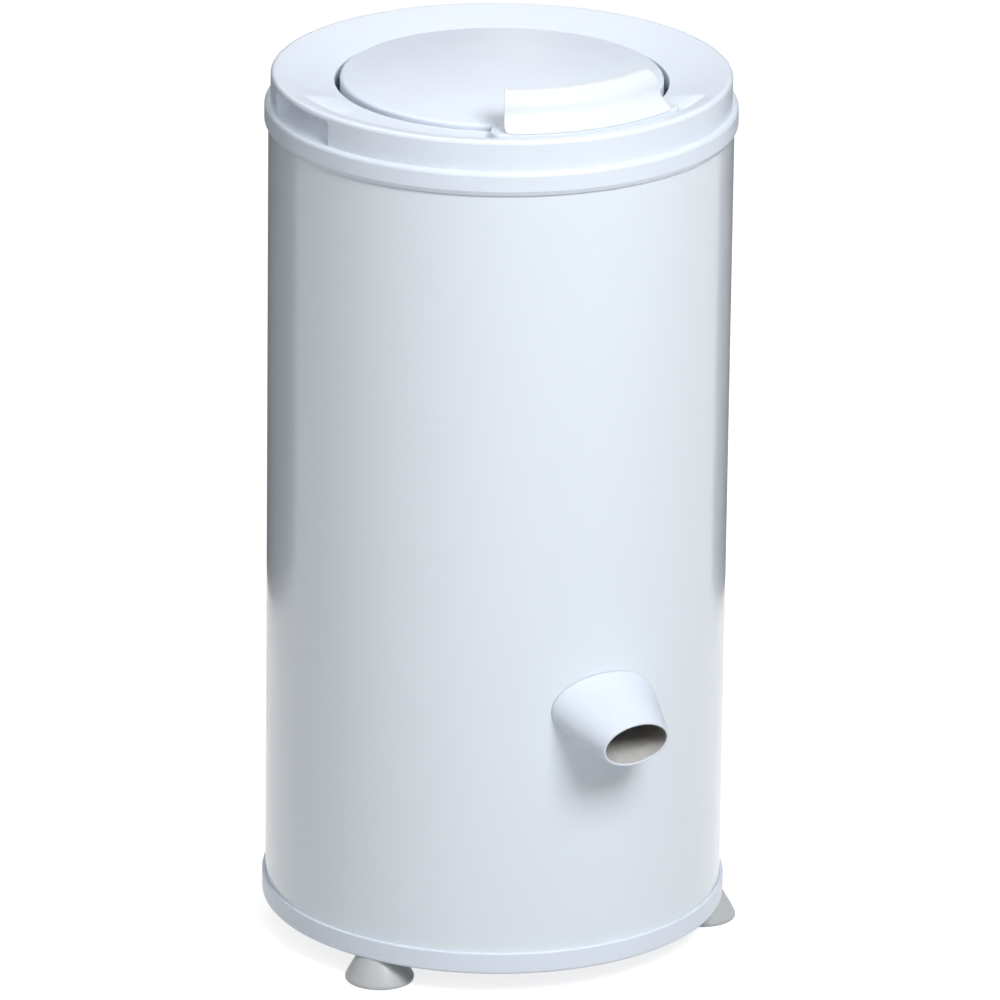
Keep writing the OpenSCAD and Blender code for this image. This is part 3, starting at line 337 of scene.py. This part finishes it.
ENAMEL = (0.79, 0.85, 0.91)
PLASTIC = (0.785, 0.845, 0.94)
BRIGHT_PLASTIC = (0.785, 0.83, 0.87)
INNER_PLASTIC = (0.72, 0.75, 0.78)
BLACK_PLASTIC = (0.02, 0.021, 0.023)
FOOT_GREY = (0.52, 0.54, 0.545)
RUBBER = (0.028, 0.029, 0.031)
DRUM_STEEL = (0.66, 0.67, 0.69)
BRIGHT_STEEL = (0.68, 0.69, 0.71)
ZINC = (0.55, 0.57, 0.60)
ALLOY_DARK, ALLOY_LIGHT = (0.42, 0.43, 0.45), (0.58, 0.59, 0.61)
IRON_DARK, IRON_LIGHT = (0.16, 0.165, 0.17), (0.34, 0.345, 0.35)
RUST = (0.24, 0.17, 0.12)
LAMINATION = 6.5 * MM                 # scale of the core's bands
COPPER_DARK, COPPER_LIGHT = (0.30, 0.09, 0.03), (0.62, 0.25, 0.09)
WIRE = 4 * MM                         # scale of the windings' rings
FELT_DARK, FELT_LIGHT = (0.07, 0.045, 0.03), (0.17, 0.11, 0.08)


def white_enamel():
    """Enamelled sheet: slight waves, a fine skin and a few specks of dust."""
    look = Look("white_enamel")
    look.soft_edges(0.4 * MM)
    mottle = look.ranged(look.noise(90 * MM, detail=2, stretch=(1, 1, 0.25)))
    base = look.mixed(mottle, scaled(ENAMEL, 0.985), ENAMEL)
    dust = look.specks(cell=45 * MM, radius=0.5 * MM)
    look.colour(look.mixed(dust, base, scaled(ENAMEL, 0.55)))
    look.roughness(0.2, 0.262, size=30 * MM)
    look.set(Specular_IOR_Level=0.5, Coat_Weight=0.3, Coat_Roughness=0.12)
    look.bump(look.noise(1.5 * MM, detail=1), depth=0.003 * MM)
    look.bump(look.noise(110 * MM, detail=1, stretch=(1, 1, 0.12)), depth=0.6 * MM)
    return look.material


def moulded(name, tint, rough_lo, rough_hi, grain=0.01 * MM):
    """Injection-moulded plastic: faint flow marks, fine grain and soft edges."""
    look = Look(name)
    look.soft_edges(0.6 * MM)
    look.colour(look.mixed(look.ranged(look.noise(50 * MM)), scaled(tint, 0.98), tint))
    look.roughness(rough_lo, rough_hi, size=12 * MM)
    look.set(Specular_IOR_Level=0.5)
    look.bump(look.noise(1.2 * MM), grain)
    return look.material


def rubber(name, tint):
    look = Look(name)
    look.soft_edges(0.5 * MM)
    bloom = look.ranged(look.noise(20 * MM, detail=5), lo=0.35)
    look.colour(look.mixed(bloom, tint, scaled(tint, 1.25)))
    look.roughness(0.55, 0.75, size=8 * MM)
    look.bump(look.noise(0.8 * MM), depth=0.04 * MM)
    return look.material


def metal(name, tint, rough_lo, rough_hi, brushed=None, dull=0.85):
    """Bare metal, with brush lines where brushed is the stretch that they follow."""
    look = Look(name)
    look.soft_edges(0.3 * MM)
    lines = look.noise(2 * MM if brushed else 6 * MM, detail=4, stretch=brushed)
    look.colour(look.mixed(look.ranged(lines), scaled(tint, dull), tint))
    look.roughness(rough_lo, rough_hi, size=15 * MM, stretch=brushed)
    look.set(Metallic=1.0)
    look.bump(lines, depth=0.01 * MM)
    return look.material


def cast_alloy():
    look = Look("shield_alloy")
    look.soft_edges(0.8 * MM)
    skin = look.noise(1.6 * MM, detail=5, rough=0.6)
    look.colour(look.mixed(look.ranged(skin), ALLOY_DARK, ALLOY_LIGHT))
    look.roughness(0.42, 0.6, size=10 * MM, detail=3)
    look.set(Metallic=0.9)
    look.bump(skin, depth=0.12 * MM)
    return look.material


def laminated_core():
    look = Look("core_iron")
    layers = look.node("ShaderNodeTexWave", wave_type="BANDS", bands_direction="Z")
    layers.inputs["Scale"].default_value = 1 / LAMINATION
    look.link(look.place, layers.inputs["Vector"])
    rust = look.ranged(look.noise(12 * MM, detail=5), 0.5, 0.75)
    steel = look.mixed(layers.outputs["Fac"], IRON_DARK, IRON_LIGHT)
    look.colour(look.mixed(rust, steel, RUST))
    look.set(Metallic=0.7, Roughness=0.5)
    look.bump(layers.outputs["Fac"], depth=0.1 * MM)
    return look.material


def enamelled_copper():
    look = Look("copper_wire")
    strands = look.node("ShaderNodeTexWave", wave_type="RINGS", rings_direction="Z")
    strands.inputs["Scale"].default_value = 1 / WIRE
    strands.inputs["Distortion"].default_value = 1.2
    look.link(look.place, strands.inputs["Vector"])
    look.colour(look.mixed(strands.outputs["Fac"], COPPER_DARK, COPPER_LIGHT))
    look.set(Metallic=0.55, Roughness=0.3, Coat_Weight=0.6, Coat_Roughness=0.1)
    look.bump(strands.outputs["Fac"], depth=0.2 * MM)
    return look.material


def felt():
    look = Look("brake_felt")
    fibre = look.noise(0.7 * MM, detail=6, rough=0.7)
    look.colour(look.mixed(look.ranged(fibre), FELT_DARK, FELT_LIGHT))
    look.set(Roughness=0.95)
    look.bump(fibre, depth=0.3 * MM)
    return look.material


MATERIALS = {
    "white_enamel": white_enamel(),
    "white_plastic": moulded("white_plastic", PLASTIC, 0.3, 0.4),
    "inner_white_plastic": moulded("inner_white_plastic", INNER_PLASTIC, 0.4, 0.55),
    "foot_rubber": moulded("foot_rubber", FOOT_GREY, 0.32, 0.45, grain=0.03 * MM),
    "dark_rubber": rubber("dark_rubber", RUBBER),
    "drum_steel": metal("drum_steel", DRUM_STEEL, 0.16, 0.262, brushed=(1, 1, 0.06)),
    "bright_steel": metal("bright_steel", BRIGHT_STEEL, 0.15, 0.262, brushed=(1, 1, 8)),
    "zinc_steel": metal("zinc_steel", ZINC, 0.3, 0.45, dull=0.8),
    "shield_alloy": cast_alloy(),
    "core_iron": laminated_core(),
    "copper_wire": enamelled_copper(),
    "black_plastic": moulded("black_plastic", BLACK_PLASTIC, 0.35, 0.5, grain=0.04 * MM),
    "brake_felt": felt(),
    "grip_plastic": moulded("grip_plastic", BRIGHT_PLASTIC, 0.3, 0.4),
}


def dress_nodes():
    """Gives every CAD node the finish of its slot, and the grip its own."""
    for name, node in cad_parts.items():
        for slot in node.material_slots:
            base = "grip_plastic" if name == "lid_grip" else slot.material.name.split(".")[0]
            slot.material = MATERIALS[base]


dress_nodes()

# ---------------------------------------------------------------- drain spout

BODY_R = 170 * MM                     # outside of the jacket
SPOUT_Z = 224 * MM
SPOUT_ROOT = (42 * MM, 25.5 * MM)     # half width and half height on the jacket
ROOT_GAP = 0.15 * MM                  # between the jacket and the spout's root
SPOUT_MOUTH = (27 * MM, 19 * MM)
SPOUT_REACH = 47 * MM                 # from the jacket to the middle of the mouth
SPOUT_FALL = 14.4 * MM                # from the root's middle to the mouth's
SPOUT_TILT = math.radians(16)
SPOUT_WALL = 2 * MM
SPOUT_SWELL = 1.6 * MM                # how far its flanks bulge
LIP_BULGE = 0.6 * MM                  # how far the rounded lip stands out
SLEEVE = (28 * MM, 14 * MM)           # half sizes of the tube that goes on into the tub
SLEEVE_Z = SPOUT_Z + 1 * MM
SLEEVE_END_R = 146.5 * MM
BORE_SHADE_START = SPOUT_Z - 26 * MM          # height in the bore where the painted shade starts to deepen
BORE_SHADE_FULL = SPOUT_Z - 12 * MM         # and where the painted shade is full
# Painted shade inside the spout, two tones each: lighter grey low near the mouth, deep grey-brown higher
# in the bore
BORE_SHADE_LIGHT = ((0.50, 0.50, 0.49), (0.60, 0.60, 0.585))
BORE_SHADE_DEEP = ((0.20, 0.18, 0.16), (0.26, 0.235, 0.21))
RING_POINTS = 96
OUTER_STEPS = (0.03, 0.07, 0.13, 0.22, 0.34, 0.48, 0.62, 0.76, 0.88, 0.95)    # root to lip
LIP_STEPS = (30, 60, 90, 120, 150)    # degrees over the lip
INNER_STEPS = (0, 0.08, 0.25, 0.5, 0.75, 1)                                  # lip to root


def ring_angles():
    return [2 * math.pi * i / RING_POINTS for i in range(RING_POINTS)]


def on_cylinder(radius, size, z):
    """Ring of points on an upright cylinder round the machine's axis."""
    points = []
    for a in ring_angles():
        x = size[0] * math.cos(a)
        points.append(Vector((x, -math.sqrt(radius ** 2 - x ** 2), z + size[1] * math.sin(a))))
    return points


def across_mouth(inset, out=0.0):
    """Flat ring of points at the spout's mouth, inset from its edge and moved out along its axis."""
    points = []
    for a in ring_angles():
        s = (SPOUT_MOUTH[1] - inset) * math.sin(a)
        points.append(Vector((
            (SPOUT_MOUTH[0] - inset) * math.cos(a),
            -BODY_R - SPOUT_REACH - s * math.sin(SPOUT_TILT) - out * math.cos(SPOUT_TILT),
            SPOUT_Z - SPOUT_FALL + s * math.cos(SPOUT_TILT) - out * math.sin(SPOUT_TILT))))
    return points


def between(a, b, t, swell=0.0):
    """Ring between two rings, swollen outwards from its own middle."""
    points = [p.lerp(q, t) for p, q in zip(a, b)]
    middle = sum(points, Vector()) / len(points)
    return [p + (p - middle).normalized() * swell for p in points]


def smooth_tube(name, rings, bore):
    """Closed tube through a loop of rings. Faces between the rings of bore take the second material."""
    points = [tuple(p) for ring in rings for p in ring]
    n = RING_POINTS
    faces = []
    for k in range(len(rings)):
        after = (k + 1) % len(rings)
        for i in range(n):
            j = (i + 1) % n
            faces.append((k * n + i, k * n + j, after * n + j, after * n + i))
    mesh = add_mesh(name, points, faces)
    for face in mesh.polygons:
        face.material_index = int(face.index // n in bore)
        face.use_smooth = True
    return mesh


def shaded_spout_bore():
    """Inside of the spout: painted shade, grey low near the mouth and deep grey-brown higher in the
    bore, with a random mottle.
    """
    look = Look("shaded_spout_bore")
    split = look.node("ShaderNodeSeparateXYZ")
    look.link(look.place, split.inputs[0])
    height = look.ranged(split.outputs["Z"], BORE_SHADE_START, BORE_SHADE_FULL)
    bore_mottle = look.ranged(look.noise(8 * MM, detail=4))
    # painted shade, deepening with height in the bore
    look.colour(look.mixed(height, look.mixed(bore_mottle, *BORE_SHADE_LIGHT), look.mixed(bore_mottle, *BORE_SHADE_DEEP)))
    look.roughness(0.45, 0.65, size=4 * MM)
    look.bump(look.noise(1.5 * MM), depth=0.03 * MM)
    return look.material


def make_spout():
    """One closed skin: up the flanks, over the lip, down the bore and back along the sleeve."""
    root = on_cylinder(BODY_R + ROOT_GAP, SPOUT_ROOT, SPOUT_Z)
    lip = across_mouth(0.0)
    bore = [half - SPOUT_WALL for half in SLEEVE]
    inner_lip = across_mouth(SPOUT_WALL)
    inner_root = on_cylinder(BODY_R, bore, SLEEVE_Z)
    rings = [root]
    for t in OUTER_STEPS:
        swell = SPOUT_SWELL * math.sin(math.pi * t) ** 0.6 * (1 - t) ** 0.5
        rings.append(between(root, lip, t, swell))
    rings.append(lip)
    for a in LIP_STEPS:
        turn = math.radians(a)
        rings.append(across_mouth(SPOUT_WALL / 2 * (1 - math.cos(turn)), LIP_BULGE * math.sin(turn)))
    first_inner = len(rings)
    for t in INNER_STEPS:
        rings.append(between(inner_lip, inner_root, t))
    rings.append(on_cylinder(SLEEVE_END_R, bore, SLEEVE_Z))
    last_inner = len(rings) - 1
    rings.append(on_cylinder(SLEEVE_END_R, SLEEVE, SLEEVE_Z))
    rings.append(on_cylinder(BODY_R + ROOT_GAP, SLEEVE, SLEEVE_Z))
    mesh = smooth_tube("drain_spout", rings, range(first_inner, last_inner))
    spout = add_object("drain_spout", mesh)
    mesh.materials.append(MATERIALS["white_plastic"])
    # the bore's faces take the painted shade
    mesh.materials.append(shaded_spout_bore())
    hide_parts("outlet_spout")
    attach(spout, "housing")


make_spout()

# ---------------------------------------------------------------- top ring

RAMP_INNER_R = 123.5 * MM             # just outside the rounded edge of the mouth
CHANNEL_R = 155 * MM                  # outer wall of the channel that the tongue slides in
CHANNEL_FLOOR = 652.96 * MM
CHANNEL_LEFT = -81.0                  # azimuths of its two ends
CHANNEL_RIGHT = 36.0
LEFT_RAMP = 14                        # degrees that each ramp takes
RIGHT_RAMP = 8
RAMP_OVERLAP = 0.3                    # degrees by which it begins inside the channel
RAMP_OVERRUN = 1.04                   # a little more than its length, to leave no sliver
RAMP_STEPS = 12
CREST_INNER = (123 * MM, 653 * MM)    # radius and height of the sloping top's edges
CREST_OUTER = (164 * MM, 660 * MM)
CUT_TOP = 670 * MM


def solid(name, points, faces):
    """Helper solid for cutting or joining, with its faces turned outwards."""
    mesh = add_mesh(name, points, faces)
    shape = bmesh.new()
    shape.from_mesh(mesh)
    bmesh.ops.triangulate(shape, faces=shape.faces)
    bmesh.ops.recalc_face_normals(shape, faces=shape.faces)
    shape.to_mesh(mesh)
    shape.free()
    return add_object(name, mesh)


def swept_solid(name, sections):
    """Solid through sections of equally many points that follow each other round the axis."""
    n = len(sections[0])
    points = [tuple(p) for section in sections for p in section]
    faces = [tuple(range(n)), tuple(range(len(points) - 1, len(points) - n - 1, -1))]
    for i in range(len(sections) - 1):
        for k in range(n):
            a, b = n * i + k, n * i + (k + 1) % n
            faces.append((a, a + n, b + n, b))
    return solid(name, points, faces)


def crest_height(radius):
    (r0, z0), (r1, z1) = CREST_INNER, CREST_OUTER
    return z0 + (radius - r0) * (z1 - z0) / (r1 - r0)


def ramp_cutter(start, end):
    """Solid above a ramp that turns the channel's floor at azimuth start into the sloping top at end."""
    sections = []
    for i in range(RAMP_STEPS + 1):
        t = RAMP_OVERRUN * i / RAMP_STEPS
        out = direction(start + (end - start) * t)
        section = [out * r + UP * (CHANNEL_FLOOR + (crest_height(r) - CHANNEL_FLOOR) * t)
                   for r in (RAMP_INNER_R, CHANNEL_R)]
        section += [out * r + UP * CUT_TOP for r in (CHANNEL_R, RAMP_INNER_R)]
        sections.append(section)
    return swept_solid("ramp_cutter", sections)


RECESS_HALF = 14.03                   # degrees to each end of a carry recess
RECESS_LIP = 656.1 * MM               # underside of the rim over a recess
RECESS_CORNER = 4 * MM
RECESS_WALL = 2.2 * MM                # how far its end walls lean
RECESS_MIDDLES = {"recess_left": -90, "recess_right": 90}
END_REACH = 0.3                       # degrees by which a block goes on into the ring
END_DIP = 0.25                        # millimetres by which its ends sink in
BLOCK_TURN = 0.017                    # degrees, so that no edge falls on one of the ring's
EDGE_STEP = 0.1                       # degrees, the first step in from an end
EDGE_GROWTH = 0.35                    # by which the next ones grow
EDGE_SECTIONS = 10
MIDDLE_AZIMUTHS = [-6, -3, 0, 3, 6]
BAND_R = 168.37 * MM
# Outline down the band to the flange where there is no recess, in millimetres
BAND_OUTLINE = ((168.2, 656.5), (168.3, 656.15), (168.37, 655.9), (168.37, 655.2), (168.37, 653.5),
                (168.37, 650.8), (168.37, 648.6), (168.37, 646.2), (168.37, 643.8), (168.37, 641.4),
                (168.37, 639.6), (168.37, 638.5), (168.37, 637.8), (168.41, 637.43))
# The same points in the middle of a recess, where they follow its scoop
SCOOP_OUTLINE = ((168.2, 656.5), (168.3, 656.15), (162.6, 656.0), (160.7, 655.2), (159.4, 653.5),
                 (158.4, 650.8), (158.1, 648.6), (158.5, 646.2), (159.6, 643.8), (161.4, 641.4),
                 (163.6, 639.5), (165.8, 638.3), (167.3, 637.7), (168.41, 637.37))
# From there over the flange, and back to the start through the material behind the recess
FLANGE_OUTLINE = [(169.9, 637.37), (171.05, 637.14), (172.02, 636.49), (172.62, 635.52), (172.76, 634.9)]
BACK_OUTLINE = [(172.3, 633.7), (168.0, 634.0), (160.0, 636.8), (150.0, 639.4), (145.2, 641.4),
                (146.6, 648.6), (157.6, 651.0), (158.8, 657.0), (166.5, 657.0)]


def scoop_share(x, z):
    """1 inside a recess, falling to 0 at its ends and rounded upper corners. x runs along the band."""
    half = math.radians(RECESS_HALF) * BAND_R
    corner = RECESS_CORNER
    dx = abs(x) - (half - corner)
    dz = z - (RECESS_LIP - corner)
    if dx > 0 and dz > 0:
        inside = corner - math.hypot(dx, dz)
    else:
        inside = corner - dx
    t = min(max(inside / RECESS_WALL, 0.0), 1.0)
    return t * t * (3 - 2 * t)


def recess_azimuths():
    """Azimuths of a block's sections from its middle, close together at its ends."""
    right = [RECESS_HALF - EDGE_STEP * i * (1 + EDGE_GROWTH * i) for i in range(EDGE_SECTIONS)]
    right.insert(0, RECESS_HALF + END_REACH)
    return [-az for az in right] + MIDDLE_AZIMUTHS + right[::-1]


def recess_block(name, centre):
    """Solid that turns the plain pocket at an azimuth into a smooth scoop with rounded upper corners."""
    sections = []
    for az in recess_azimuths():
        out = direction(centre + az + BLOCK_TURN)
        outline = []
        for (r0, z0), (r1, z1) in zip(BAND_OUTLINE, SCOOP_OUTLINE):
            share = scoop_share(math.radians(az) * BAND_R, z0 * MM)
            outline.append((r0 + (r1 - r0) * share, z0 + (z1 - z0) * share))
        outline += FLANGE_OUTLINE + BACK_OUTLINE
        if abs(az) > RECESS_HALF:
            outline = [(r - END_DIP, z - END_DIP) for r, z in outline]
        sections.append([out * (r * MM) + UP * (z * MM) for r, z in outline])
    return swept_solid(name, sections)


WELD = 0.001 * MM
RING_SHARP = 12                       # degrees


def make_rim_ring():
    """The top ring, with ramped channel ends and smooth carry recesses."""
    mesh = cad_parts["top_ring"].data.copy()
    mesh.name = "rim_ring"
    shape = bmesh.new()
    shape.from_mesh(mesh)
    bmesh.ops.remove_doubles(shape, verts=shape.verts, dist=WELD)
    shape.to_mesh(mesh)
    shape.free()
    ring = add_object("rim_ring", mesh)
    joined = [recess_block(name, centre) for name, centre in RECESS_MIDDLES.items()]
    cutters = [ramp_cutter(CHANNEL_LEFT + RAMP_OVERLAP, CHANNEL_LEFT - LEFT_RAMP),
               ramp_cutter(CHANNEL_RIGHT - RAMP_OVERLAP, CHANNEL_RIGHT + RIGHT_RAMP)]
    for helper in joined + cutters:
        change = ring.modifiers.new(helper.name, "BOOLEAN")
        change.operation = "UNION" if helper in joined else "DIFFERENCE"
        change.solver = "EXACT"
        change.object = helper
    seen = bpy.context.evaluated_depsgraph_get()
    ring.data = bpy.data.meshes.new_from_object(ring.evaluated_get(seen))
    ring.data.name = "rim_ring"
    ring.modifiers.clear()
    for helper in joined + cutters:
        bpy.data.objects.remove(helper)
    smooth(ring.data, RING_SHARP)
    even = ring.modifiers.new("even_shading", "WEIGHTED_NORMAL")
    even.keep_sharp = True
    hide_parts("top_ring")
    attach(ring, "housing")


make_rim_ring()

# ---------------------------------------------------------------- feet

PAN_Z = 19.5 * MM                     # underside of the base pan
FOOT_CENTRE_R = 157 * MM
FOOT_R = 25.4 * MM
FOOT_TOP_R = 16.6 * MM
FOOT_BOW = 0.35 * MM                  # by which its flank swells
FLANK_BOTTOM = 2.6 * MM
FLANK_HEIGHT = PAN_Z - 3.6 * MM
FLANK_POINTS = 5
SOLE_EDGE = 1.2 * MM                  # rounding of the sole's outer edge
EDGE_POINTS = 5
SOLE_GROOVE = ((11 * MM, 0.0), (12 * MM, 1.5 * MM), (18 * MM, 1.5 * MM), (19 * MM, 0.0))
TOP_BEVEL = 0.6 * MM
PEG_R = 6 * MM
PEG_TOP = 23.2 * MM
TURN_STEPS = 72
FOOT_SHARP = 30                       # degrees
FEET = {"foot_front_left": -60, "foot_front_right": 60, "foot_rear": 180}


def foot_profile():
    """Radius and height of a foot's outline, from its grooved sole up its straight flank to its peg."""
    outline = list(SOLE_GROOVE)
    for i in range(EDGE_POINTS):
        a = math.radians(-90 + 22.5 * i)
        outline.append((FOOT_R - SOLE_EDGE * (1 - math.cos(a)), SOLE_EDGE * (1 + math.sin(a))))
    outline.append((FOOT_R, FLANK_BOTTOM))
    for i in range(FLANK_POINTS):
        t = (i + 0.3) / (FLANK_POINTS - 0.4)
        bow = FOOT_BOW * math.sin(math.pi * t)
        outline.append((FOOT_R + (FOOT_TOP_R - FOOT_R) * t + bow, FLANK_BOTTOM + FLANK_HEIGHT * t))
    outline += [(FOOT_TOP_R - TOP_BEVEL, PAN_Z), (PEG_R, PAN_Z), (PEG_R, PEG_TOP)]
    return outline


def turned(name, outline):
    """Closed solid of revolution round its own upright axis."""
    steps = TURN_STEPS
    points = []
    for radius, z in outline:
        for i in range(steps):
            a = 2 * math.pi * i / steps
            points.append((radius * math.cos(a), radius * math.sin(a), z))
    faces = []
    for k in range(len(outline) - 1):
        for i in range(steps):
            j = (i + 1) % steps
            faces.append((k * steps + i, k * steps + j, (k + 1) * steps + j, (k + 1) * steps + i))
    faces.append(tuple(range(steps - 1, -1, -1)))
    last = (len(outline) - 1) * steps
    faces.append(tuple(range(last, last + steps)))
    mesh = add_mesh(name, points, faces)
    smooth(mesh, FOOT_SHARP)
    return mesh


def make_feet():
    for node, azimuth in FEET.items():
        name = node.replace("foot", "rubber_foot")
        mesh = turned(name, foot_profile())
        mesh.materials.append(MATERIALS["foot_rubber"])
        foot = add_object(name, mesh)
        foot.location = direction(azimuth) * FOOT_CENTRE_R
        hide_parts(node)
        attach(foot, "housing")


make_feet()
